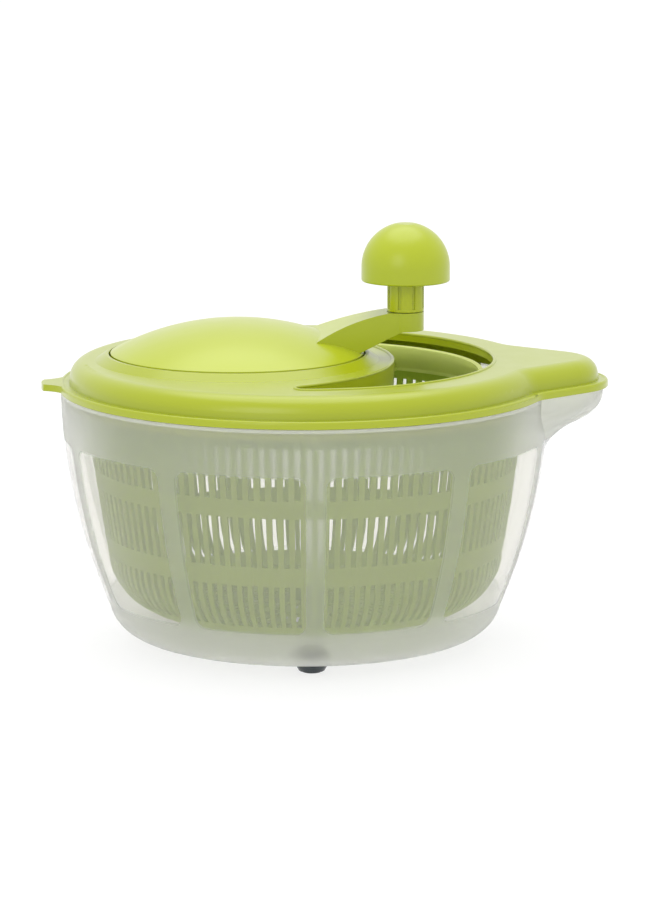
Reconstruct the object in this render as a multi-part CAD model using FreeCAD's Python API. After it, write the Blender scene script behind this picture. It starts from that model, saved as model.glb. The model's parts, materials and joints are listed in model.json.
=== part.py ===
"""Hand-cranked salad spinner: bowl with spout, slotted basket, lid, crank with an offset ring gear, driver.

Millimetres, +Z up. z = 0 is the table. The shapes are drawn about the bowl's axis at x = 0, with the
spout towards +X, and every piece is shifted at the end, so that the origin is at the box's bottom centre.
"""
import FreeCAD, Part
import math
import os

V = FreeCAD.Vector
UP = V(0, 0, 1)
CENTRE = V(0, 0, 0)

# Overall
RIM_Z = 137.1             # top edge of the bowl
RIM_R = 129.4             # outer radius of the bowl at its top edge
BOWL_WALL = 2.4
FLOOR_Z = 6.2             # underside of the bowl, held off the table by the feet
FLOOR_R = 86.0

# Lid outline, seen from above: a circle with a pointed spout cover
FLANGE_R = 130.0
SPOUT_TIP_X = 161.2
SPOUT_NOSE_R = 35.0
SPOUT_SIDE_DEG = 39.0     # how far the spout's sides lean from the X axis
NECK_FILLET = 16.0
FLANGE_Z = 137.4
FLANGE_THICK = 3.5
TAB_TIP_X = -139.6
LID_WALL = 2.2
LID_INSET = 4.5           # side wall, in from the flange's edge at its foot
LID_LEAN = 2.0            # and this much more at the top
DECK_TOP = 152.4
DECK_SHOULDER = 9.0       # rounding between the side wall and the deck

# Crank disc and its recess in the lid
CRANK_X = -36.0           # the crank turns on its own axis, beside the bowl's
DISC_R = 67.0
DISC_EDGE_Z = 156.4
DISC_TOP_Z = 173.5
DISC_WALL = 2.2
RECESS_R = 68.0
COLLAR_R = 75.0           # foot of the sloping collar around the disc
COLLAR_TOP_Z = 156.0
RECESS_FLOOR_Z = 150.4
RECESS_FLOOR_THICK = 2.0

# Filling opening in the lid: a crescent between two circles
OPENING_OUTER_R = 99.5
OPENING_INNER_X = -56.0
OPENING_INNER_R = 103.0
OPENING_TIP_R = 5.0

# Knob
KNOB_X = 53.2
KNOB_R = 23.4
KNOB_RIM_Z = 193.6
KNOB_TOP_Z = 224.0
STEM_R = 9.8
ARM_TIP_Z = 177.4
ARM_TIP_UNDER_Z = 167.5
ARM_ROOT_X = 5.0           # where the arm's two corners run out into the dome
ARM_ROOT_Y = 27.0
ARM_ROOT_Z = 165.0

# Gears, module 2
MODULE = 2.0
RING_TEETH = 54
PINION_TEETH = 18
BACKLASH = 0.25           # taken off each tooth's thickness
PRESSURE = math.radians(20)

# Basket
BASKET_WALL = 2.0
BASKET_BOTTOM_Z = 21.0
BASKET_RIM_Z = 130.8
SLOTS_AROUND = 120
SLOT_WIDTH = 2.8
SLOT_ROWS = ((97.7, 124.6), (62.1, 88.3), (28.4, 51.9))

SHIFT_X = -(SPOUT_TIP_X + TAB_TIP_X) / 2


def export(name, shape):
    moved = shape.copy()
    moved.translate(V(SHIFT_X, 0, 0))
    moved.exportStep("parts/" + name + ".step")
    box = moved.BoundBox
    print(f"{name:20s} valid {moved.isValid()} solids {len(moved.Solids)} volume {moved.Volume / 1000:8.2f} cm3"
          f"  z {box.ZMin:7.2f} to {box.ZMax:7.2f}")


def tube(outer, inner, z0, z1, x=0.0, y=0.0):
    """A ring, or a disc when inner is 0, standing at x, y."""
    ring = Part.makeCylinder(outer, z1 - z0, V(x, y, z0))
    if inner > 0:
        ring = ring.cut(Part.makeCylinder(inner, z1 - z0 + 2, V(x, y, z0 - 1)))
    return ring


def box(x0, x1, y0, y1, z0, z1):
    return Part.makeBox(x1 - x0, y1 - y0, z1 - z0, V(x0, y0, z0))


def line(a, b):
    return Part.LineSegment(a, b).toShape()


def arc(a, through, b):
    return Part.Arc(a, through, b).toShape()


def polygon(points, z=0.0):
    corners = [V(x, y, z) for x, y in points]
    return Part.Face(Part.makePolygon(corners + [corners[0]]))


def rising(start, top):
    """A vertical edge up from start, or none where it would have no length."""
    return [line(start, V(start.x, 0, top))] if top > start.z else []


def turned(edges, x=0.0):
    """A solid of revolution about the vertical line at x, from the edges of a section in the XZ plane."""
    return Part.Face(Part.Wire(edges)).revolve(V(x, 0, 0), UP, 360)


def polar(radius, degrees, z=0.0):
    angle = math.radians(degrees)
    return V(radius * math.cos(angle), radius * math.sin(angle), z)


def outline(inset, z):
    """The lid's outline, moved inwards by inset: circle, neck fillets, straight spout sides and a round nose."""
    radius = FLANGE_R - inset
    nose = SPOUT_NOSE_R - inset
    nose_x = SPOUT_TIP_X - SPOUT_NOSE_R
    fillet = NECK_FILLET + inset
    lean = math.radians(90 - SPOUT_SIDE_DEG)
    across = V(math.cos(lean), math.sin(lean), 0)       # square to the spout's side, pointing out
    side = nose_x * across.x + nose                     # the side's distance from the bowl's axis
    reach = math.acos((side + fillet) / (radius + fillet))
    fillet_centre = V(math.cos(lean - reach), math.sin(lean - reach), 0) * (radius + fillet)
    on_circle = fillet_centre * (radius / (radius + fillet))
    on_side = fillet_centre - across * fillet
    between = (on_circle + on_side) * 0.5 - fillet_centre
    on_fillet = fillet_centre + between * (fillet / between.Length)
    on_nose = V(nose_x, 0, 0) + across * nose
    level = V(0, 0, z)

    def mirrored(p):
        return V(p.x, -p.y, 0) + level

    return Part.Wire([
        arc(mirrored(on_circle), V(-radius, 0, z), on_circle + level),
        arc(on_circle + level, on_fillet + level, on_side + level),
        line(on_side + level, on_nose + level),
        arc(on_nose + level, V(nose_x + nose, 0, z), mirrored(on_nose)),
        line(mirrored(on_nose), mirrored(on_side)),
        arc(mirrored(on_side), mirrored(on_fillet), mirrored(on_circle)),
    ])


def slab(inset, z0, z1):
    return Part.Face(outline(inset, z0)).extrude(V(0, 0, z1 - z0))


# Bowl ---------------------------------------------------------------------------------------------

def bowl_of_revolution(inset):
    """The bowl's round body as a solid: a long bowed side and a tight corner into the flat floor."""
    top = RIM_Z + (5 if inset else 0)
    floor = FLOOR_Z + inset
    side_top = V(RIM_R - inset, 0, RIM_Z)
    knee = V(104.6 - inset * 0.94, 0, 21.5 + inset * 0.34)
    return turned([
        line(V(0, 0, floor), V(FLOOR_R, 0, floor)),
        arc(V(FLOOR_R, 0, floor), V(98.0 - inset * 0.75, 0, 10.6 + inset * 0.66), knee),
        arc(knee, V(121.6 - inset * 0.97, 0, 73.0 + inset * 0.2), side_top),
        *rising(side_top, top),
        line(V(RIM_R - inset, 0, top), V(0, 0, top)),
        line(V(0, 0, top), V(0, 0, floor)),
    ])


def spout_block(inset):
    """The pouring lip as a solid: level sections that reach further out the higher they are."""
    lean = math.radians(90 - SPOUT_SIDE_DEG)
    across = V(math.cos(lean), math.sin(lean), 0)
    root_x = 96.0
    sections = ((100.0, 126.4, 62.0), (107.0, 129.0, 56.0), (113.0, 134.0, 47.0),
                (119.0, 143.0, 40.0), (125.0, 154.0, 35.0), (131.0, 158.0, 32.4), (RIM_Z, 158.4, 32.0))
    wires = []
    for z, tip, nose in sections:
        z_here = z + (inset * 0.8 if z < RIM_Z else 5.0 if inset else 0.0)
        nose_x = tip - nose
        radius = nose - inset
        tangent = V(nose_x, 0, 0) + across * radius
        root_y = tangent.y + (tangent.x - root_x) * across.x / across.y
        lift = V(0, 0, z_here)
        a = V(root_x, -root_y, 0) + lift
        b = V(tangent.x, -tangent.y, 0) + lift
        c = tangent + lift
        d = V(root_x, root_y, 0) + lift
        wires.append(Part.Wire([line(a, b), arc(b, V(nose_x + radius, 0, z_here), c), line(c, d), line(d, a)]))
    return Part.makeLoft(wires, True, False)


def foot_places():
    return {"front": polar(73, -90), "right": polar(73, 30), "left": polar(73, 150)}


PIVOT_R = 4.0
PIVOT_TOP_Z = 26.7


def make_bowl():
    outside = bowl_of_revolution(0).fuse(spout_block(0))
    inside = bowl_of_revolution(BOWL_WALL).fuse(spout_block(BOWL_WALL))
    bowl = outside.cut(inside)
    floor = FLOOR_Z + BOWL_WALL
    pivot = Part.makeCone(7.5, PIVOT_R + 1.5, 17.4 - floor + 0.5, V(0, 0, floor - 0.5))
    pivot = pivot.fuse(tube(PIVOT_R, 0, 16, PIVOT_TOP_Z))
    bowl = bowl.fuse(pivot)
    for place in foot_places().values():
        bowl = bowl.fuse(tube(6.5, 0, floor - 0.5, 13.0, place.x, place.y))
    for place in foot_places().values():
        bowl = bowl.cut(tube(FOOT_PEG_R, 0, FLOOR_Z - 1, 11.0, place.x, place.y))
    return bowl.removeSplitter()


FOOT_PEG_R = 3.5
FOOT_TOP_R = 9.9
FOOT_BOTTOM_R = 6.8
PAD_R = 5.4


def make_foot(place):
    cup = Part.makeCone(FOOT_BOTTOM_R, FOOT_TOP_R, FLOOR_Z - 0.8, V(place.x, place.y, 0.8))
    cup = cup.fuse(tube(FOOT_PEG_R, 0, FLOOR_Z - 1, 10.6, place.x, place.y))
    return cup.cut(tube(PAD_R, 0, 0, 3.2, place.x, place.y))


def make_foot_pad(place):
    pad = tube(PAD_R, 0, 0, 3.2, place.x, place.y)
    return pad.makeFillet(0.6, [pad.Edges[2]])


# Basket -------------------------------------------------------------------------------------------

def basket_solid(inset):
    """The basket's outer form as a solid; inset gives the hollow."""
    bottom = BASKET_BOTTOM_Z + inset
    top = BASKET_RIM_Z + (5 if inset else 0)
    knee = V(105.2 - inset, 0, 50 + inset * 0.2)
    upper = V(116.0 - inset, 0, 126.0)
    return turned([
        line(V(0, 0, bottom), V(82, 0, bottom)),
        arc(V(82, 0, bottom), V(98.0 - inset * 0.75, 0, 31.6 + inset * 0.6), knee),
        arc(knee, V(110.9 - inset, 0, 86.0), upper),
        *rising(upper, top),
        line(V(upper.x, 0, top), V(0, 0, top)),
        line(V(0, 0, top), V(0, 0, bottom)),
    ])


DRIVE_LUGS = 6
LUG_R = 114.8
SOCKET_R = PIVOT_R + 0.08


def make_basket():
    basket = basket_solid(0).fuse(tube(120.0, 110.0, BASKET_RIM_Z - 2.2, BASKET_RIM_Z))
    basket = basket.cut(basket_solid(BASKET_WALL))
    socket = tube(9.0, 0, BASKET_BOTTOM_Z, 30.0)
    basket = basket.fuse(socket).cut(tube(SOCKET_R, 0, BASKET_BOTTOM_Z - 1, 27.0))
    cutters = []
    for low, high in SLOT_ROWS:
        slot = box(88.0, 125.0, -SLOT_WIDTH / 2, SLOT_WIDTH / 2, low, high)
        cutters += around(slot, SLOTS_AROUND, 360 / SLOTS_AROUND / 2)
    for inner, outer, count in ((14.0, 34.0, 24), (39.0, 58.0, 48), (63.0, 80.0, 72)):
        slot = box(inner, outer, -1.1, 1.1, BASKET_BOTTOM_Z - 1, BASKET_BOTTOM_Z + 5)
        cutters += around(slot, count)
    notch = box(112.0, 121.0, -4.4, 4.4, BASKET_RIM_Z - 3.4, BASKET_RIM_Z + 1)
    cutters += around(notch, DRIVE_LUGS, 180 / DRIVE_LUGS)
    return basket.cut(Part.makeCompound(cutters))


def around(shape, count, first_deg=0.0, x=0.0):
    """Copies of a shape, evenly spaced about the vertical line at x."""
    copies = []
    for i in range(count):
        copy = shape.copy()
        copy.rotate(V(x, 0, 0), UP, first_deg + i * 360 / count)
        copies.append(copy)
    return copies


# Lid ----------------------------------------------------------------------------------------------

def lid_block(inset):
    """The lid's raised body as a solid: leaning side wall, rounded shoulder and flat deck."""
    foot = FLANGE_Z - (1 if inset else 0)
    top = DECK_TOP - inset
    body = Part.makeLoft([outline(LID_INSET + inset, foot), outline(LID_INSET + LID_LEAN + inset, top)], True, True)
    rim = [e for e in body.Edges if e.BoundBox.ZMin > top - 0.01]
    return body.makeFillet(DECK_SHOULDER - inset, rim)


def disc_recess():
    """The tub that the crank disc lies in: floor, and a collar that slopes up from the deck."""
    floor = RECESS_FLOOR_Z - RECESS_FLOOR_THICK
    rim = RECESS_R + 1.6
    return turned([
        line(V(CRANK_X, 0, floor), V(CRANK_X + rim, 0, floor)),
        line(V(CRANK_X + rim, 0, floor), V(CRANK_X + rim, 0, DECK_TOP - LID_WALL / 2)),
        line(V(CRANK_X + rim, 0, DECK_TOP - LID_WALL / 2), V(CRANK_X + COLLAR_R, 0, DECK_TOP - LID_WALL / 2)),
        line(V(CRANK_X + COLLAR_R, 0, DECK_TOP - LID_WALL / 2), V(CRANK_X + COLLAR_R, 0, DECK_TOP)),
        line(V(CRANK_X + COLLAR_R, 0, DECK_TOP), V(CRANK_X + rim, 0, COLLAR_TOP_Z)),
        line(V(CRANK_X + rim, 0, COLLAR_TOP_Z), V(CRANK_X, 0, COLLAR_TOP_Z)),
        line(V(CRANK_X, 0, COLLAR_TOP_Z), V(CRANK_X, 0, floor)),
    ], CRANK_X).cut(tube(RECESS_R, 0, RECESS_FLOOR_Z, DECK_TOP + 5, CRANK_X))


def crescent(grow, z0, z1):
    """The filling opening as a solid, grown outwards by grow."""
    outer = OPENING_OUTER_R + grow
    inner = OPENING_INNER_R - grow
    tip = OPENING_TIP_R + grow
    far, near = outer - tip, inner + tip
    tip_x = (near ** 2 - far ** 2 - OPENING_INNER_X ** 2) / (-2 * OPENING_INNER_X)
    tip_centre = V(tip_x, math.sqrt(far ** 2 - tip_x ** 2), 0)
    inner_centre = V(OPENING_INNER_X, 0, 0)
    on_outer = tip_centre * (outer / far)
    on_inner = inner_centre + (tip_centre - inner_centre) * (inner / near)
    between = (on_outer + on_inner) * 0.5 - tip_centre
    back = tip_centre + V(-abs(between.x), between.y, 0) * (tip / between.Length)
    lift = V(0, 0, z0)

    def low(p):
        return V(p.x, -p.y, 0) + lift

    wire = Part.Wire([
        arc(low(on_outer), V(outer, 0, z0), on_outer + lift),
        arc(on_outer + lift, back + lift, on_inner + lift),
        arc(on_inner + lift, V(OPENING_INNER_X + inner, 0, z0), low(on_inner)),
        arc(low(on_inner), low(back), low(on_outer)),
    ])
    return Part.Face(wire).extrude(V(0, 0, z1 - z0))


BUSH_WALL = 2.0
CRANK_SHAFT_R = 5.5
PINION_SHAFT_R = 5.0
FIT = 0.06                # radial running clearance of a shaft in its bush
BOSS_BOTTOM_Z = 142.0


def make_lid():
    flange = slab(0, FLANGE_Z, FLANGE_Z + FLANGE_THICK)
    top_edges = [e for e in flange.Edges if e.BoundBox.ZMin > FLANGE_Z + FLANGE_THICK - 0.01]
    flange = flange.makeFillet(1.2, top_edges).fuse(finger_tab())
    lid = flange.fuse(lid_block(0)).cut(lid_block(LID_WALL))
    lid = lid.cut(tube(RECESS_R, 0, RECESS_FLOOR_Z - 5, DECK_TOP + 5, CRANK_X)).fuse(disc_recess())
    lid = lid.fuse(opening_walls())
    lid = lid.cut(crescent(0, 130, DECK_TOP + 5))
    lid = lid.fuse(plug_skirt())
    for x, shaft in ((CRANK_X, CRANK_SHAFT_R), (0.0, PINION_SHAFT_R)):
        hole = shaft + BUSH_WALL
        lid = lid.fuse(tube(hole + 2.4, 0, BOSS_BOTTOM_Z, RECESS_FLOOR_Z - 0.5, x))
        lid = lid.cut(tube(hole, 0, BOSS_BOTTOM_Z - 1, RECESS_FLOOR_Z + 1, x))
    return lid.removeSplitter()


def finger_tab():
    """A thin tongue to lift the lid by, opposite the spout."""
    root_x = -FLANGE_R + 3
    plan = Part.Face(Part.Wire([
        arc(V(root_x, -19, 0), V(-FLANGE_R - 2.2, -11.5, 0), V(TAB_TIP_X + 1.2, -8, 0)),
        arc(V(TAB_TIP_X + 1.2, -8, 0), V(TAB_TIP_X, 0, 0), V(TAB_TIP_X + 1.2, 8, 0)),
        arc(V(TAB_TIP_X + 1.2, 8, 0), V(-FLANGE_R - 2.2, 11.5, 0), V(root_x, 19, 0)),
        line(V(root_x, 19, 0), V(root_x, -19, 0)),
    ]))
    plan.translate(V(0, 0, FLANGE_Z))
    return plan.extrude(V(0, 0, FLANGE_THICK))


LIP_THICK = 1.8
OUTER_LIP_Z = 148.4       # how far down the opening's outer lip reaches
INNER_WALL_Z = 140.0      # and the wall along its inner edge
DRIVER_CLEAR_R = 89.0     # the deep wall stays inside the driver's ring


def opening_walls():
    ring = crescent(LIP_THICK, OUTER_LIP_Z, DECK_TOP).cut(crescent(0, OUTER_LIP_Z - 1, DECK_TOP + 1))
    lips = ring.common(lid_block(0.5))
    deep = crescent(LIP_THICK, INNER_WALL_Z, DECK_TOP).cut(crescent(0, INNER_WALL_Z - 1, DECK_TOP + 1))
    deep = deep.common(tube(DRIVER_CLEAR_R, 0, INNER_WALL_Z, OUTER_LIP_Z + 1))
    tab = box(46.0, 55.0, 3.0, 11.0, 144.6, 146.4)
    tab = tab.makeFillet(3.0, [e for e in tab.Edges if e.BoundBox.XMin > 54.9 and e.Length < 2])
    return lips.fuse(deep).fuse(tab)


SKIRT_R = 125.6
SKIRT_WALL = 2.3
SKIRT_BOTTOM_Z = 131.0
SKIRT_GAP_DEG = 37.0      # the skirt stops on both sides of the spout


def plug_skirt():
    skirt = tube(SKIRT_R, SKIRT_R - SKIRT_WALL, SKIRT_BOTTOM_Z, FLANGE_Z + 1)
    corners = [V(0, 0, 0), polar(300, SKIRT_GAP_DEG), polar(300, -SKIRT_GAP_DEG)]
    wedge = Part.Face(Part.makePolygon(corners + [corners[0]]))
    wedge.translate(V(0, 0, SKIRT_BOTTOM_Z - 1))
    return skirt.cut(wedge.extrude(V(0, 0, 20)))


def make_bush(shaft, x):
    """A flanged plastic bearing, pushed into its boss from above."""
    bush = tube(shaft + BUSH_WALL, shaft + FIT, BOSS_BOTTOM_Z, RECESS_FLOOR_Z, x)
    return bush.fuse(tube(shaft + BUSH_WALL + 2.0, shaft + FIT, RECESS_FLOOR_Z, RECESS_FLOOR_Z + 0.8, x))


# Crank --------------------------------------------------------------------------------------------

DOME_RISE = DISC_TOP_Z - DISC_EDGE_Z
DOME_R = (DISC_R ** 2 + DOME_RISE ** 2) / (2 * DOME_RISE)
DISC_SKIRT_Z = 152.6


def dome_ball(inset):
    return Part.makeSphere(DOME_R - inset, V(CRANK_X, 0, DISC_TOP_Z - DOME_R))


def dome_under_z(distance):
    """Height of the dome's underside at a distance from the crank's axis."""
    inner = DOME_R - DISC_WALL
    return DISC_TOP_Z - DOME_R + math.sqrt(inner ** 2 - distance ** 2)


def arm_block():
    """The arm: a fan where it leaves the dome, narrowing to a round end under the knob."""
    fan = Part.Face(Part.Wire([
        arc(V(ARM_ROOT_X, -ARM_ROOT_Y, 0), V(24, -15.4, 0), V(KNOB_X - 4, -STEM_R + 0.3, 0)),
        arc(V(KNOB_X - 4, -STEM_R + 0.3, 0), V(KNOB_X + STEM_R, 0, 0), V(KNOB_X - 4, STEM_R - 0.3, 0)),
        arc(V(KNOB_X - 4, STEM_R - 0.3, 0), V(24, 15.4, 0), V(ARM_ROOT_X, ARM_ROOT_Y, 0)),
        line(V(ARM_ROOT_X, ARM_ROOT_Y, 0), V(ARM_ROOT_X, -ARM_ROOT_Y, 0)),
    ]))
    fan.translate(V(0, 0, 150))
    plan = fan.extrude(V(0, 0, 40))
    side = Part.Face(Part.Wire([
        line(V(ARM_ROOT_X, -50, 159), V(ARM_ROOT_X, -50, ARM_ROOT_Z)),
        arc(V(ARM_ROOT_X, -50, ARM_ROOT_Z), V(21, -50, 171.8), V(KNOB_X - 10, -50, ARM_TIP_Z)),
        line(V(KNOB_X - 10, -50, ARM_TIP_Z), V(KNOB_X + 12, -50, ARM_TIP_Z)),
        line(V(KNOB_X + 12, -50, ARM_TIP_Z), V(KNOB_X + 12, -50, ARM_TIP_UNDER_Z)),
        line(V(KNOB_X + 12, -50, ARM_TIP_UNDER_Z), V(KNOB_X - 2, -50, ARM_TIP_UNDER_Z)),
        line(V(KNOB_X - 2, -50, ARM_TIP_UNDER_Z), V(DISC_R + CRANK_X - 2, -50, 157.2)),
        line(V(DISC_R + CRANK_X - 2, -50, 157.2), V(ARM_ROOT_X, -50, 159)),
    ]))
    arm = plan.common(side.extrude(V(0, 100, 0)))
    return arm


RING_EAR_R = 62.0
RING_EAR_COUNT = 4
RING_EAR_Z = 153.2


def ear_places():
    return [polar(RING_EAR_R, 45 + i * 90) + V(CRANK_X, 0, 0) for i in range(RING_EAR_COUNT)]


KNOB_PIN_R = 3.0
KNOB_PIN_HEAD_R = 6.0


def make_crank():
    disc = dome_ball(0).common(tube(DISC_R, 0, DISC_SKIRT_Z, DISC_TOP_Z + 1, CRANK_X))
    hollow = dome_ball(DISC_WALL).common(tube(DISC_R - DISC_WALL, 0, DISC_SKIRT_Z - 1, DISC_TOP_Z, CRANK_X))
    crank = disc.fuse(arm_block()).cut(hollow)
    hub = tube(9.0, 0, RECESS_FLOOR_Z + 1.2, DISC_TOP_Z - 1, CRANK_X)
    hub = hub.fuse(tube(CRANK_SHAFT_R, 0, BOSS_BOTTOM_Z - 0.4, RECESS_FLOOR_Z + 2, CRANK_X))
    crank = crank.fuse(hub).cut(tube(1.6, 0, BOSS_BOTTOM_Z - 1, RECESS_FLOOR_Z + 6, CRANK_X))
    for p in ear_places():
        crank = crank.fuse(tube(2.9, 0, RING_EAR_Z + 2.0, dome_under_z(RING_EAR_R) + 0.6, p.x, p.y))
    for p in ear_places():
        crank = crank.cut(tube(1.1, 0, RING_EAR_Z, RING_EAR_Z + 4.2, p.x, p.y))
    crank = crank.cut(tube(KNOB_PIN_R, 0, 160, 185, KNOB_X))
    return crank.cut(tube(KNOB_PIN_HEAD_R + 0.2, 0, 160, ARM_TIP_UNDER_Z + 2.2, KNOB_X)).removeSplitter()


def gear_outline(teeth, tip_r, root_r, thickness_change):
    """Corner points of a spur gear with involute flanks, a tooth centred on +X."""
    pitch_r = MODULE * teeth / 2
    base_r = pitch_r * math.cos(PRESSURE)

    def roll(r):
        tangent = math.sqrt(max((r / base_r) ** 2 - 1, 0))
        return tangent - math.atan(tangent)

    half = (math.pi * MODULE / 2 + thickness_change) / 2 / pitch_r + roll(pitch_r)
    lowest = max(root_r, base_r)
    radii = [lowest + (tip_r - lowest) * i / 3 for i in range(4)]
    flank = [(r, half - roll(r)) for r in radii]
    if root_r < base_r:
        flank.insert(0, (root_r, half))
    points = []
    for i in range(teeth):
        middle = 2 * math.pi * i / teeth
        points += [(r, middle - a) for r, a in flank]
        points += [(r, middle + a) for r, a in reversed(flank)]
    return [(r * math.cos(a), r * math.sin(a)) for r, a in points]


GEAR_Z0 = 151.2
GEAR_Z1 = 157.4


def make_ring_gear():
    pitch_r = MODULE * RING_TEETH / 2
    space = gear_outline(RING_TEETH, pitch_r + 1.2 * MODULE, pitch_r - 0.85 * MODULE, BACKLASH)
    hollow = polygon(space, GEAR_Z0 - 1).extrude(V(0, 0, 10))
    hollow.translate(V(CRANK_X, 0, 0))
    ring = tube(59.4, 0, GEAR_Z0, GEAR_Z1, CRANK_X).cut(hollow)
    for p in ear_places():
        ear = tube(2.9, 0, RING_EAR_Z, RING_EAR_Z + 2.0, p.x, p.y)
        ring = ring.fuse(ear.cut(tube(58.0, 0, GEAR_Z0, GEAR_Z1, CRANK_X)))
    for p in ear_places():
        ring = ring.cut(tube(1.35, 0, GEAR_Z0, GEAR_Z1, p.x, p.y))
    return ring


def screw(head_r, head_z, shank_r, shank_top, x, y=0.0):
    """A pan-head screw driven upwards, with a cross recess in its head."""
    head_height = head_r * 0.62
    head = Part.makeCone(head_r * 0.75, head_r, head_height, V(x, y, head_z - head_height))
    body = head.fuse(tube(shank_r, 0, head_z - 0.1, shank_top, x, y))
    arm, half = head_r * 0.55, head_r * 0.11
    depth = head_height * 0.6
    for dx, dy in ((arm, half), (half, arm)):
        body = body.cut(box(x - dx, x + dx, y - dy, y + dy, head_z - head_height - 1, head_z - head_height + depth))
    return body


def make_ring_gear_screws():
    return Part.makeCompound([screw(2.2, RING_EAR_Z, 1.1, RING_EAR_Z + 4.0, p.x, p.y) for p in ear_places()])


def make_knob_pin():
    top = 198.6
    pin = tube(KNOB_PIN_HEAD_R, 0, ARM_TIP_UNDER_Z + 0.6, ARM_TIP_UNDER_Z + 2.2, KNOB_X)
    pin = pin.fuse(tube(KNOB_PIN_R, 0, ARM_TIP_UNDER_Z + 2, top, KNOB_X))
    return pin.cut(tube(KNOB_PIN_R + 1, KNOB_PIN_R - 0.5, 197.0, 197.9, KNOB_X))


def make_knob_clip():
    clip = tube(5.6, KNOB_PIN_R - 0.5, 197.0, 197.9, KNOB_X)
    return clip.cut(box(KNOB_X, KNOB_X + 7, -1.9, 1.9, 196, 199))


def make_knob_stem():
    """A fluted neck with a plate on top that the dome snaps onto."""
    stem = tube(STEM_R, 0, ARM_TIP_Z + 0.35, KNOB_RIM_Z + 0.5, KNOB_X)
    flute = box(KNOB_X + STEM_R - 0.7, KNOB_X + STEM_R + 1, -0.8, 0.8, ARM_TIP_Z + 1.8, KNOB_RIM_Z - 1.5)
    stem = stem.cut(Part.makeCompound(around(flute, 8, 22.5, KNOB_X)))
    stem = stem.fuse(tube(KNOB_R - 2.2, 0, KNOB_RIM_Z, KNOB_RIM_Z + 2.4, KNOB_X))
    return stem.cut(tube(KNOB_PIN_R + FIT, 0, ARM_TIP_Z, KNOB_RIM_Z + 4, KNOB_X))


def make_knob_dome():
    """A half ball on a short straight skirt, hollow, with a small flat on top."""
    skirt_top = KNOB_TOP_Z + 0.6 - KNOB_R

    def form(inset, flat_z):
        radius = KNOB_R - inset
        ball = Part.makeSphere(radius, V(KNOB_X, 0, skirt_top))
        body = ball.common(tube(radius + 1, 0, skirt_top, flat_z, KNOB_X))
        return body.fuse(tube(radius, 0, KNOB_RIM_Z, skirt_top, KNOB_X))

    dome = form(0, KNOB_TOP_Z).cut(form(2.2, KNOB_TOP_Z - 2.2))
    rim = [e for e in dome.Edges if e.BoundBox.ZMax < KNOB_RIM_Z + 0.01 and e.BoundBox.XMax > KNOB_X + KNOB_R - 0.1]
    return dome.makeFillet(0.8, rim)


# Driver -------------------------------------------------------------------------------------------

HEX_ACROSS = 4.2          # half the distance across the flats of the shaft's driving end
HUB_Z0, HUB_Z1 = 128.6, 140.6
DRIVER_ARMS_DEG = (180.0, 62.0, -62.0)
DRIVER_RING = ((94.0, 147.0), (105.0, 133.0))


def hexagon(across, z0, z1):
    corner = across / math.cos(math.pi / 6)
    points = [(corner * math.cos(math.pi / 3 * i), corner * math.sin(math.pi / 3 * i)) for i in range(6)]
    return polygon(points, z0).extrude(V(0, 0, z1 - z0))


def make_pinion():
    """Pinion and shaft in one: teeth above the bearing, a hexagonal driving end below it."""
    pitch_r = MODULE * PINION_TEETH / 2
    teeth = gear_outline(PINION_TEETH, pitch_r + 0.85 * MODULE, pitch_r - 1.2 * MODULE, -BACKLASH)
    pinion = polygon(teeth, GEAR_Z0 + 0.4).extrude(V(0, 0, GEAR_Z1 - GEAR_Z0 - 0.4))
    shaft_top = GEAR_Z0 + 0.6
    pinion = pinion.fuse(tube(PINION_SHAFT_R, 0, HUB_Z1 + 0.4, shaft_top))
    pinion = pinion.fuse(hexagon(HEX_ACROSS, HUB_Z0, HUB_Z1 + 1))
    return pinion.cut(tube(1.5, 0, HUB_Z0 - 1, HUB_Z0 + 10))


def make_driver():
    """Hub, three ribbed arms, a sloping ridged ring and a flat rim with lugs for the basket's notches."""
    (top_r, top_z), (low_r, low_z) = DRIVER_RING
    wall = 1.8
    rim_r = 117.4
    rim_z = BASKET_RIM_Z + 0.4
    ring = turned([
        line(V(top_r, 0, top_z), V(low_r, 0, low_z)),
        line(V(low_r, 0, low_z), V(rim_r, 0, low_z)),
        line(V(rim_r, 0, low_z), V(rim_r, 0, rim_z)),
        line(V(rim_r, 0, rim_z), V(low_r - wall * 1.4, 0, rim_z)),
        line(V(low_r - wall * 1.4, 0, rim_z), V(low_r - wall * 1.4, 0, low_z)),
        line(V(low_r - wall * 1.4, 0, low_z), V(top_r - wall * 1.2, 0, top_z - 0.6)),
        line(V(top_r - wall * 1.2, 0, top_z - 0.6), V(top_r, 0, top_z)),
    ])
    driver = ring.fuse(tube(14.0, 0, HUB_Z0 + 0.3, HUB_Z1))
    arm_end = low_r + 1.0
    for degrees in DRIVER_ARMS_DEG:
        plate = box(8.0, arm_end, -8.0, 8.0, rim_z, rim_z + 1.8)
        rib = box(8.0, arm_end - 6, -1.0, 1.0, rim_z + 1, rim_z + 5.0)
        arm = plate.fuse(rib.translated(V(0, 6.6, 0))).fuse(rib.translated(V(0, -6.6, 0)))
        arm.rotate(CENTRE, UP, degrees)
        driver = driver.fuse(arm)
    lug = box(LUG_R - 2.0, LUG_R + 2.0, -4.0, 4.0, BASKET_RIM_Z - 2.8, rim_z + 0.5)
    for piece in around(lug, DRIVE_LUGS, 180 / DRIVE_LUGS):
        driver = driver.fuse(piece)
    return driver.cut(hexagon(HEX_ACROSS, HUB_Z0 - 1, HUB_Z1 + 1)).removeSplitter()


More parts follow.
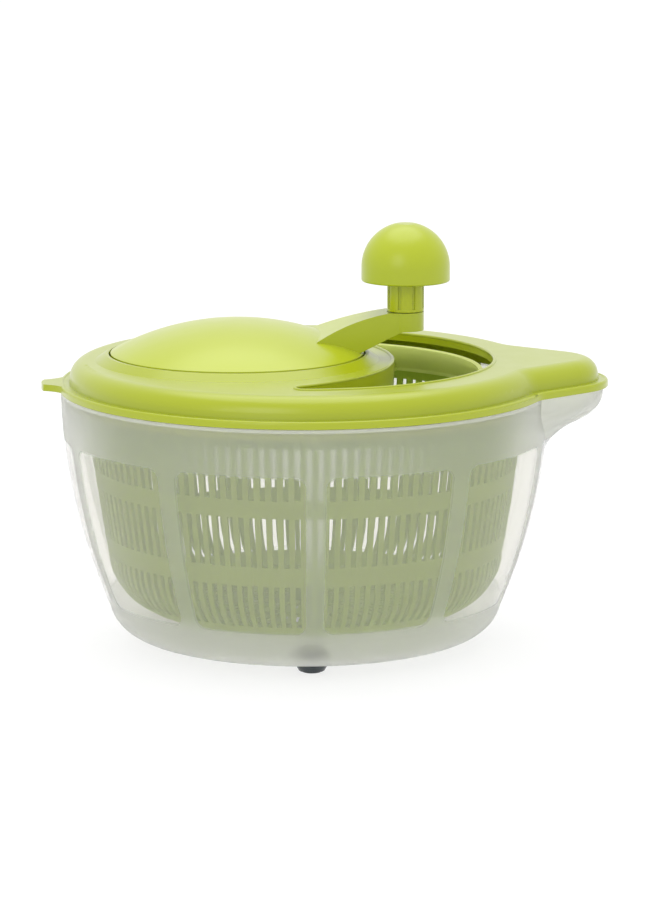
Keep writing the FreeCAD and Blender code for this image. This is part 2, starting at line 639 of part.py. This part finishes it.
def build():
    os.makedirs("parts", exist_ok=True)
    export("bowl", make_bowl())
    for side, place in foot_places().items():
        export("foot_" + side, make_foot(place))
        export("foot_pad_" + side, make_foot_pad(place))
    export("basket", make_basket())
    export("lid", make_lid())
    export("crank_bush", make_bush(CRANK_SHAFT_R, CRANK_X))
    export("pinion_bush", make_bush(PINION_SHAFT_R, 0.0))
    export("crank", make_crank())
    export("ring_gear", make_ring_gear())
    export("ring_gear_screws", make_ring_gear_screws())
    export("crank_washer", tube(8.6, 1.7, BOSS_BOTTOM_Z - 1.4, BOSS_BOTTOM_Z - 0.4, CRANK_X))
    export("crank_screw", screw(3.4, BOSS_BOTTOM_Z - 1.4, 1.6, RECESS_FLOOR_Z + 4, CRANK_X))
    export("knob_pin", make_knob_pin())
    export("knob_clip", make_knob_clip())
    export("knob_stem", make_knob_stem())
    export("knob_dome", make_knob_dome())
    export("drive_pinion", make_pinion())
    export("basket_driver", make_driver())
    export("driver_washer", tube(7.0, 1.6, HUB_Z0 - 1.0, HUB_Z0))
    export("driver_screw", screw(3.2, HUB_Z0 - 1.0, 1.5, HUB_Z0 + 8.0, 0.0))


build()
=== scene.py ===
# %% [markdown]
# # A hand-cranked salad spinner
# The spinner is a frosted bowl with a pouring spout, a slotted basket, and a lime green lid with a
# crank. The engineering model gives every piece its size and place. This lesson gives each piece
# its finish, and adds the soft rounded edges and moulded details that a mould really leaves.

# %% Load the frame
import bpy
import json
import math
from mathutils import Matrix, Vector


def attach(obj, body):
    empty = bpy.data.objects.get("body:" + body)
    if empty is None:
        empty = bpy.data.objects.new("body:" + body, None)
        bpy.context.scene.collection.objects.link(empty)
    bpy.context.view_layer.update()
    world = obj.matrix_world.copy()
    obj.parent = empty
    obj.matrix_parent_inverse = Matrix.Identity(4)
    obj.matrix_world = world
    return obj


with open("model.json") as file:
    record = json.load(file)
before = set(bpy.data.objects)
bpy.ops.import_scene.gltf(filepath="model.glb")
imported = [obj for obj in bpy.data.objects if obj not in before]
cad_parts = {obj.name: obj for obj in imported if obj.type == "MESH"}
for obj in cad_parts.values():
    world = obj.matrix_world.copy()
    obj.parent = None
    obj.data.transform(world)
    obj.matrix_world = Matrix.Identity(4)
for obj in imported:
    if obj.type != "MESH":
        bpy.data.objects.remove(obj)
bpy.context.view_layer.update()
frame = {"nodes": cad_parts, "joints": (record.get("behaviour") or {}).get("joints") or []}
nodes = frame["nodes"]
print("pieces in the frame:", len(nodes))


# %% [markdown]
# ## Where the bowl's axis stands
# The spout makes the spinner longer on one side, so the bowl's axis is not in the middle of the
# model. It could be measured again from the mesh, but the basket turns on that axis and its joint
# already says where it is. The windows, the beads and the camera are all placed from it.

# %% Read the bowl's axis
bowl_x = next(j["pos_m"][0] for j in frame["joints"] if j["name"] == "basket_spin")
print(f"bowl axis {bowl_x:.4f}")


# %% [markdown]
# ## Colours
# Blender mixes colours as amounts of light, while a colour picker shows them as the eye judges
# them. The amounts could be typed in directly, but then nobody could read them. This helper turns
# picker values of 0 to 255 into amounts of light.

# %% Colour helper
def light(red, green, blue):
    def linear(v):
        v /= 255
        return v / 12.92 if v <= 0.04045 else ((v + 0.055) / 1.055) ** 2.4
    return (linear(red), linear(green), linear(blue), 1.0)


print("mid grey as light:", round(light(128, 128, 128)[0], 3))


# %% [markdown]
# ## Uneven surfaces
# No real surface is the same all over: pigment, gloss and thickness wander a little. Painted images
# could show that, but they need the pieces unwrapped. Noise that fills space needs nothing, and it
# runs over edges without a seam. Four small helpers make a material, a noise, a number that follows
# the noise, and a colour that follows it.

# %% Helpers for a material
def new_material(name):
    material = bpy.data.materials.new(name)
    material.use_nodes = True
    tree = material.node_tree
    shader = tree.nodes["Principled BSDF"]
    return material, tree, shader


def noise(tree, scale, detail=2.0):
    place = tree.nodes.new("ShaderNodeTexCoord")
    texture = tree.nodes.new("ShaderNodeTexNoise")
    texture.inputs["Scale"].default_value = scale
    texture.inputs["Detail"].default_value = detail
    tree.links.new(place.outputs["Object"], texture.inputs["Vector"])
    return texture.outputs["Fac"]


def between(tree, factor, low, high):
    """A number that goes from low to high over the middle part of a noise."""
    span = tree.nodes.new("ShaderNodeMapRange")
    span.inputs["From Min"].default_value = 0.3
    span.inputs["From Max"].default_value = 0.7
    span.inputs["To Min"].default_value = low
    span.inputs["To Max"].default_value = high
    tree.links.new(factor, span.inputs["Value"])
    return span.outputs["Result"]


def mixed(tree, factor, first, second):
    """A colour that goes from the first to the second."""
    mix = tree.nodes.new("ShaderNodeMix")
    mix.data_type = "RGBA"
    tree.links.new(factor, mix.inputs["Factor"])
    mix.inputs["A"].default_value = first
    mix.inputs["B"].default_value = second
    return mix.outputs["Result"]


# %% [markdown]
# ## Mould grain and soft edges
# A moulded skin copies the fine spark grain of its mould, and every edge comes out with a round of
# about half a millimetre. Modelled grain would take millions of faces, so a bump stands for it. The
# rounds are far finer than the mesh too, so the bevel node works them out where light meets the
# edge, and the bump is laid over its result.

# %% Grain and edge rounds
def grain(tree, shader, scale, depth_mm, strength=0.3, edge_mm=0.5):
    edge = tree.nodes.new("ShaderNodeBevel")
    edge.samples = 6
    edge.inputs["Radius"].default_value = edge_mm / 1000
    bump = tree.nodes.new("ShaderNodeBump")
    tree.links.new(edge.outputs["Normal"], bump.inputs["Normal"])
    bump.inputs["Distance"].default_value = depth_mm / 1000
    bump.inputs["Strength"].default_value = strength
    tree.links.new(noise(tree, scale, 3.0), bump.inputs["Height"])
    tree.links.new(bump.outputs["Normal"], shader.inputs["Normal"])


# %% [markdown]
# ## Thin pale walls
# The basket and the ring under the lid are thin and pale, so light shines through them and they
# glow from inside. Real scattering inside the wall could be computed, but it is slow and noisy. A
# translucent sheet mixed into the surface passes the same light on at once.

# %% Let light through
def let_light_through(tree, shader, colour, share):
    sheet = tree.nodes.new("ShaderNodeBsdfTranslucent")
    sheet.inputs["Color"].default_value = colour
    mix = tree.nodes.new("ShaderNodeMixShader")
    mix.inputs["Fac"].default_value = share
    tree.links.new(shader.outputs["BSDF"], mix.inputs[1])
    tree.links.new(sheet.outputs["BSDF"], mix.inputs[2])
    tree.links.new(mix.outputs["Shader"], tree.nodes["Material Output"].inputs["Surface"])


# %% [markdown]
# ## Moulded plastic
# All the opaque pieces are moulded plastic. They could each have a material of their own, but they
# only differ in colour and gloss, so one function makes them all. The colour drifts a little, the
# gloss wanders by a tenth, and a soft coat gives the lid and crank the broad whitish sheen of a
# fine satin mould. Where there is a coat, the surface below it reflects less.

# %% Make a plastic
PLASTIC_IOR = 1.49
COAT_ROUGHNESS = 0.30
COAT_IOR = 1.55


def plastic(name, colour, roughness, drift=0.06, grain_scale=1800, grain_depth=0.03,
            coat=0.0, thin=None, share=0.0):
    material, tree, shader = new_material(name)
    darker = tuple(c * (1 - drift) for c in colour[:3]) + (1.0,)
    pigment = mixed(tree, noise(tree, 14), darker, colour)
    gloss = between(tree, noise(tree, 90), roughness * 0.9, roughness * 1.1)
    tree.links.new(pigment, shader.inputs["Base Color"])
    tree.links.new(gloss, shader.inputs["Roughness"])
    shader.inputs["IOR"].default_value = PLASTIC_IOR
    shader.inputs["Coat Weight"].default_value = coat
    shader.inputs["Coat Roughness"].default_value = COAT_ROUGHNESS
    shader.inputs["Coat IOR"].default_value = COAT_IOR
    shader.inputs["Specular IOR Level"].default_value = 0.5 - 0.4 * coat
    grain(tree, shader, grain_scale, grain_depth)
    if thin:
        let_light_through(tree, shader, thin, share)
    return material


# %% [markdown]
# ## The plastics of this spinner
# The lid, the crank and the knob are the same lime in slightly different shades, since they come
# from different moulds. The knob's stem is glossy. The driver's ring and the basket are paler and
# pass light. The gears and bushes are a plain white that slides well, and the pads are soft black
# rubber with a coarser grain.

# %% Mix the plastics
lid_plastic = plastic("lid_lime", light(166, 178, 0), 0.34, coat=1.0)
crank_plastic = plastic("crank_lime", light(178, 191, 16), 0.36, coat=1.0)
knob_plastic = plastic("knob_lime", light(174, 187, 14), 0.38, coat=0.7)
stem_plastic = plastic("stem_lime", light(184, 194, 0), 0.16)
driver_plastic = plastic("driver_lime", light(238, 246, 160), 0.42,
                         thin=light(250, 253, 205), share=0.5)
basket_plastic = plastic("basket_lime", light(182, 200, 84), 0.45,
                         thin=light(232, 244, 150), share=0.45)
gear_plastic = plastic("gear_white", light(232, 231, 224), 0.40, drift=0.03)
bush_plastic = plastic("bush_white", light(226, 226, 221), 0.32, drift=0.03)
rubber = plastic("pad_rubber", light(24, 25, 27), 0.75, drift=0.2,
                 grain_scale=900, grain_depth=0.08)
print("plastics:", len(bpy.data.materials))


# %% [markdown]
# ## Turned steel
# The pins, washers and screws are steel. They are small and mostly hidden, and show when the lid is
# lifted and turned. Turning marks could be modelled as rings, but at this size a fine noise in the
# gloss and a faint bump read the same.

# %% Make the steel
def steel(name):
    material, tree, shader = new_material(name)
    shader.inputs["Metallic"].default_value = 1.0
    shade = mixed(tree, noise(tree, 300), light(168, 169, 171), light(196, 197, 199))
    tree.links.new(shade, shader.inputs["Base Color"])
    tree.links.new(between(tree, noise(tree, 700), 0.24, 0.38), shader.inputs["Roughness"])
    grain(tree, shader, 2400, 0.01, 0.2)
    return material


steel_metal = steel("screw_steel")
print("steel:", steel_metal.name)


# %% [markdown]
# ## Smoky feet
# The feet are cups of a dark see-through plastic, pushed into the bowl's floor, with black rubber
# under them. Full glass would look like crystal, so the surface passes less than half of the light
# and keeps a grey body colour.

# %% Make the smoky plastic
def smoky(name):
    material, tree, shader = new_material(name)
    shade = mixed(tree, noise(tree, 120), light(54, 62, 66), light(74, 84, 88))
    tree.links.new(shade, shader.inputs["Base Color"])
    shader.inputs["Transmission Weight"].default_value = 0.45
    shader.inputs["IOR"].default_value = PLASTIC_IOR
    tree.links.new(between(tree, noise(tree, 500), 0.12, 0.2), shader.inputs["Roughness"])
    grain(tree, shader, 1500, 0.01, 0.2)
    return material


foot_plastic = smoky("foot_smoke")
print("feet:", foot_plastic.name)


# %% [markdown]
# ## Finding the clear windows
# The whole bowl is one clear moulding. Its mould is etched, so that the wall comes out frosted,
# apart from ten tall windows that are polished and stay clear. The wall could be cut into frosted
# and clear pieces, but the real one has no seam there. So a mask finds the windows from the place
# on the wall. It works in lengths along the wall and up the wall, and rounds their corners.

# %% Measure along the wall
WINDOWS = 10
PITCH = 2 * math.pi / WINDOWS
WINDOW_LOW, WINDOW_HIGH = 0.027, 0.113
WALL_R = 0.118
STRIPE = 0.0088
CORNER = 0.006
EDGE_SLOPE = 600.0


def maths(tree, operation, a, b=None):
    node = tree.nodes.new("ShaderNodeMath")
    node.operation = operation
    for socket, value in zip(node.inputs, (a, b)):
        if value is None:
            continue
        if isinstance(value, (int, float)):
            socket.default_value = value
        else:
            tree.links.new(value, socket)
    return node.outputs["Value"]


def place_parts(tree):
    """The place on a piece, split into X, Y and Z."""
    place = tree.nodes.new("ShaderNodeTexCoord")
    split = tree.nodes.new("ShaderNodeSeparateXYZ")
    tree.links.new(place.outputs["Object"], split.inputs["Vector"])
    return split.outputs


def past(tree, distance, limit):
    """How far a distance goes past a limit, or 0."""
    return maths(tree, "MAXIMUM", maths(tree, "SUBTRACT", distance, limit), 0.0)


def window_mask(tree):
    """Above 1 inside a clear window, below 0 on the frosted wall."""
    place = place_parts(tree)
    angle = maths(tree, "ARCTAN2", place["Y"], maths(tree, "SUBTRACT", place["X"], bowl_x))
    turns = maths(tree, "DIVIDE", maths(tree, "ADD", angle, math.pi / 2 + 4 * math.pi), PITCH)
    share = maths(tree, "ABSOLUTE", maths(tree, "SUBTRACT", maths(tree, "FRACT", turns), 0.5))
    along = maths(tree, "MULTIPLY", share, PITCH * WALL_R)
    half_width = PITCH * WALL_R / 2 - STRIPE / 2
    middle, half_height = (WINDOW_LOW + WINDOW_HIGH) / 2, (WINDOW_HIGH - WINDOW_LOW) / 2
    up = maths(tree, "ABSOLUTE", maths(tree, "SUBTRACT", place["Z"], middle))
    over_x = maths(tree, "POWER", past(tree, along, half_width - CORNER), 2.0)
    over_z = maths(tree, "POWER", past(tree, up, half_height - CORNER), 2.0)
    distance = maths(tree, "SQRT", maths(tree, "ADD", over_x, over_z))
    return maths(tree, "MULTIPLY", maths(tree, "SUBTRACT", CORNER, distance), EDGE_SLOPE)


# %% [markdown]
# ## The frosted bowl
# Frosting is nothing but roughness on a clear plastic: it scatters the light that passes, so that
# the basket shows as a soft shape. Two materials could be laid side by side, but one is truer,
# since the plastic is the same everywhere: the mask only takes the roughness away. The thick top
# edge looks whiter than the wall, so less light passes there.

# %% Make the frosted plastic
BOWL_IOR = 1.34
RIM_LOW = 0.1352
PASSING = 0.84
PASSING_WINDOW_GAIN = 0.05
PASSING_RIM_LOSS = 0.22
POLISH = 0.94


def frosted(name):
    material, tree, shader = new_material(name)
    clear = tree.nodes.new("ShaderNodeClamp")
    tree.links.new(window_mask(tree), clear.inputs["Value"])
    mask = clear.outputs["Result"]
    rim = maths(tree, "GREATER_THAN", place_parts(tree)["Z"], RIM_LOW)
    passing = maths(tree, "ADD", maths(tree, "MULTIPLY", mask, PASSING_WINDOW_GAIN), PASSING)
    passing = maths(tree, "SUBTRACT", passing, maths(tree, "MULTIPLY", rim, PASSING_RIM_LOSS))
    rough = between(tree, noise(tree, 260), 0.29, 0.34)
    polish = maths(tree, "SUBTRACT", 1.0, maths(tree, "MULTIPLY", mask, POLISH))
    tint = mixed(tree, mask, light(247, 248, 242), light(252, 251, 247))
    shader.inputs["IOR"].default_value = BOWL_IOR
    tree.links.new(passing, shader.inputs["Transmission Weight"])
    tree.links.new(tint, shader.inputs["Base Color"])
    tree.links.new(maths(tree, "MULTIPLY", rough, polish), shader.inputs["Roughness"])
    return material


bowl_plastic = frosted("bowl_frosted")
print("bowl nodes:", len(bowl_plastic.node_tree.nodes))


# %% [markdown]
# ## The lid's outline
# The lid's edge is one closed line: a circle about the bowl's axis, two hollow neck curves, two
# straight spout sides and a round nose. It could be traced by hand, but arcs stay round and can be
# moved inwards. The neck's centre lies where a circle rolls on the big circle and on the side at
# once, so its place comes from one triangle. A line moved inwards by some inset keeps the same
# centres and only changes its radii.

# %% Draw the lid's outline
FLANGE_R = 0.130
NOSE_R = 0.035
NOSE_TIP = 0.1612
NECK_R = 0.016
SIDE_LEAN = math.radians(90 - 39.0)


def arc_points(centre, radius, start, end, count):
    turns = [start + (end - start) * i / count for i in range(count + 1)]
    return [(centre[0] + radius * math.cos(t), centre[1] + radius * math.sin(t)) for t in turns]


def lid_outline(inset):
    """Points round the lid, anticlockwise from the tab's side, inset inwards."""
    big, nose, neck = FLANGE_R - inset, NOSE_R - inset, NECK_R + inset
    nose_x = NOSE_TIP - NOSE_R
    side = nose_x * math.cos(SIDE_LEAN) + nose
    turn = SIDE_LEAN - math.acos((side + neck) / (big + neck))
    neck_x, neck_y = (big + neck) * math.cos(turn), (big + neck) * math.sin(turn)
    lower = arc_points((0, 0), big, -math.pi, -turn, 80)
    lower += arc_points((neck_x, -neck_y), neck, math.pi - turn, math.pi - SIDE_LEAN, 8)
    lower += arc_points((nose_x, 0), nose, -SIDE_LEAN, 0, 16)
    upper = [(x, -y) for x, y in reversed(lower[1:-1])]
    return [(x + bowl_x, y) for x, y in lower + upper]


print("outline points:", len(lid_outline(0.0)))


# %% [markdown]
# ## The bead round the flange
# Two thin round beads finish the lid, as on the real moulding. The first stiffens the flange's
# outer edge and leaves a fine groove between itself and the side wall. A curve object with a bevel
# would pinch in the tight corners, so the bead is built ring by ring: an oval section swept along
# a closed line, which stays closed and even.

# %% Sweep a bead
BEAD_INSET = 0.0013
BEAD_Z = 0.1400
BEAD_WIDE, BEAD_HIGH = 0.0012, 0.0013


def link_mesh(name, verts, faces, body):
    mesh = bpy.data.meshes.new(name)
    mesh.from_pydata(verts, [], faces)
    mesh.update()
    for face in mesh.polygons:
        face.use_smooth = True
    piece = bpy.data.objects.new(name, mesh)
    bpy.context.scene.collection.objects.link(piece)
    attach(piece, body)
    return piece


def swept_bead(name, path, z, wide, high, body, around=12):
    """A closed bead with an oval section along a level, closed path of (x, y) points."""
    count = len(path)
    verts, faces = [], []
    for i, (x, y) in enumerate(path):
        ahead, behind = path[(i + 1) % count], path[i - 1]
        dx, dy = ahead[0] - behind[0], ahead[1] - behind[1]
        length = math.hypot(dx, dy)
        for k in range(around):
            a = 2 * math.pi * k / around
            out, up = wide * math.cos(a), high * math.sin(a)
            verts.append((x + dy / length * out, y - dx / length * out, z + up))
    for i in range(count):
        here, there = i * around, (i + 1) % count * around
        for k in range(around):
            n = (k + 1) % around
            faces.append((there + k, there + n, here + n, here + k))
    return link_mesh(name, verts, faces, body)


flange_bead = swept_bead("lid_flange_bead", lid_outline(BEAD_INSET), BEAD_Z,
                         BEAD_WIDE, BEAD_HIGH, "lid")
print("flange bead:", len(flange_bead.data.polygons), "faces")


# %% [markdown]
# ## The lip round the filling opening
# The second bead is the rolled lip of the crescent opening that water goes in through. The crescent
# lies between a circle about the bowl's axis and a slightly larger circle that is moved towards the
# disc and passes beside its collar, and its two horns are rounded. The lip could be cut into the
# lid's own mesh, but the engineering mesh stays as it is, so the same sweep lays it on the edge.

# %% Roll the opening's lip
OUTER_R = 0.0995
INNER_R, INNER_X = 0.103, -0.056
HORN_R = 0.005
LIP_OUTSET = 0.0008
LIP_Z = 0.1523
LIP_WIDE, LIP_HIGH = 0.0010, 0.0009


def opening_outline(outset):
    """The crescent between two circles, its two horns rounded, outset outwards."""
    outer, inner, horn = OUTER_R + outset, INNER_R - outset, HORN_R + outset
    far, near = outer - horn, inner + horn
    horn_x = (near ** 2 - far ** 2 - INNER_X ** 2) / (-2 * INNER_X)
    horn_y = math.sqrt(far ** 2 - horn_x ** 2)
    outer_turn = math.atan2(horn_y, horn_x)
    inner_turn = math.atan2(horn_y, horn_x - INNER_X)
    points = arc_points((0, 0), outer, -outer_turn, outer_turn, 60)
    points += arc_points((horn_x, horn_y), horn, outer_turn, inner_turn + math.pi, 10)[1:]
    points += arc_points((INNER_X, 0), inner, inner_turn, -inner_turn, 60)[1:]
    points += arc_points((horn_x, -horn_y), horn,
                         math.pi - inner_turn, 2 * math.pi - outer_turn, 10)[1:-1]
    return [(x + bowl_x, y) for x, y in points]


opening_bead = swept_bead("lid_opening_lip", opening_outline(LIP_OUTSET), LIP_Z,
                          LIP_WIDE, LIP_HIGH, "lid")
print("opening lip:", len(opening_bead.data.polygons), "faces")


# %% [markdown]
# ## Give every piece its finish
# Each real piece is moulded or turned from one material. The engineering pieces have the right
# shape, so they keep their meshes and get a finish only. A table says which piece gets which one.
# The feet, their pads and the steel small parts are found by name, since there are several of each.

# %% Assign the finishes
FINISH = {
    "lid": lid_plastic, "crank": crank_plastic,
    "knob_stem": stem_plastic, "knob_dome": knob_plastic,
    "basket": basket_plastic, "basket_driver": driver_plastic, "bowl": bowl_plastic,
    "ring_gear": gear_plastic, "drive_pinion": gear_plastic,
    "crank_bush": bush_plastic, "pinion_bush": bush_plastic,
}


def finish_for(node):
    if node in FINISH:
        return FINISH[node]
    if node.startswith("foot_pad"):
        return rubber
    return foot_plastic if node.startswith("foot") else steel_metal


for name, piece in nodes.items():
    piece.data.materials.clear()
    piece.data.materials.append(finish_for(name))
    for face in piece.data.polygons:
        face.use_smooth = True
for bead in (flange_bead, opening_bead):
    bead.data.materials.append(lid_plastic)
print("finished pieces:", len(nodes) + 2)


# %% [markdown]
# ## The table top
# The spinner stands on a white table that also gives off a little light, as a light table does. A
# plain white floor would turn grey under the bowl, and the glow keeps it pale. It is so wide that
# its far edge never comes into view.

# %% Build the floor
FLOOR_HALF = 12.0
FLOOR_GLOW = 0.78


def build_floor():
    h = FLOOR_HALF
    mesh = bpy.data.meshes.new("floor")
    mesh.from_pydata([(-h, -h, 0), (h, -h, 0), (h, h, 0), (-h, h, 0)], [], [(0, 1, 2, 3)])
    floor = bpy.data.objects.new("floor", mesh)
    bpy.context.scene.collection.objects.link(floor)
    material, tree, shader = new_material("floor_white")
    shade = mixed(tree, noise(tree, 3), light(128, 128, 127), light(133, 133, 133))
    tree.links.new(shade, shader.inputs["Base Color"])
    shader.inputs["Roughness"].default_value = 0.9
    shader.inputs["Emission Color"].default_value = (1.0, 1.0, 1.0, 1.0)
    shader.inputs["Emission Strength"].default_value = FLOOR_GLOW
    mesh.materials.append(material)
    return floor


floor = build_floor()
print("floor width:", 2 * FLOOR_HALF)


# %% [markdown]
# ## The studio
# Frosted plastic looks best in even light, with few hard reflections. A single lamp would throw a
# dark shadow, so the room itself is white and lights the spinner from all sides. A very large soft
# lamp above adds the broad highlights on the disc and the knob, and a weak one in front lifts the
# side walls.

# %% Light the studio
ROOM_LIGHT = 0.95


def area_light(name, place, target, size, power):
    data = bpy.data.lights.new(name, "AREA")
    data.shape = "DISK"
    data.size = size
    data.energy = power
    lamp = bpy.data.objects.new(name, data)
    bpy.context.scene.collection.objects.link(lamp)
    lamp.location = place
    lamp.rotation_euler = (Vector(target) - Vector(place)).to_track_quat("-Z", "Y").to_euler()
    return lamp


world = bpy.data.worlds.new("studio_room")
world.use_nodes = True
backdrop = world.node_tree.nodes["Background"]
backdrop.inputs["Color"].default_value = (1.0, 1.0, 1.0, 1.0)
backdrop.inputs["Strength"].default_value = ROOM_LIGHT
bpy.context.scene.world = world
area_light("soft_top", (0.0, 0.3, 1.7), (0, 0, 0.1), 1.8, 13)
area_light("front_fill", (-0.7, -1.6, 0.9), (0, 0, 0.1), 1.0, 4)
bpy.context.scene.view_settings.view_transform = "Standard"
print("lamps:", len(bpy.data.lights))


# %% [markdown]
# ## Camera
# Close up, a short lens would swell the front of the bowl. A long lens from two metres keeps its
# shape, eleven degrees above the table and a little to the left, so that the crank's arm and the
# opening in the lid show behind the disc.

# %% Place the camera
ELEVATION = math.radians(10.63)
YAW = math.radians(-2.9)
DISTANCE = 2.0
TARGET = Vector((bowl_x + 0.01319, 0.0, 0.10284))
LENS = 150.22

camera = bpy.data.objects.new("camera", bpy.data.cameras.new("camera"))
bpy.context.scene.collection.objects.link(camera)
level = math.cos(ELEVATION)
away = Vector((math.sin(YAW) * level, -math.cos(YAW) * level, math.sin(ELEVATION)))
camera.location = TARGET + away * DISTANCE
camera.rotation_euler = (-away).to_track_quat("-Z", "Y").to_euler()
camera.data.lens = LENS
camera.data.sensor_width = 36.0
bpy.context.scene.camera = camera
print("camera at:", [round(c, 3) for c in camera.location])
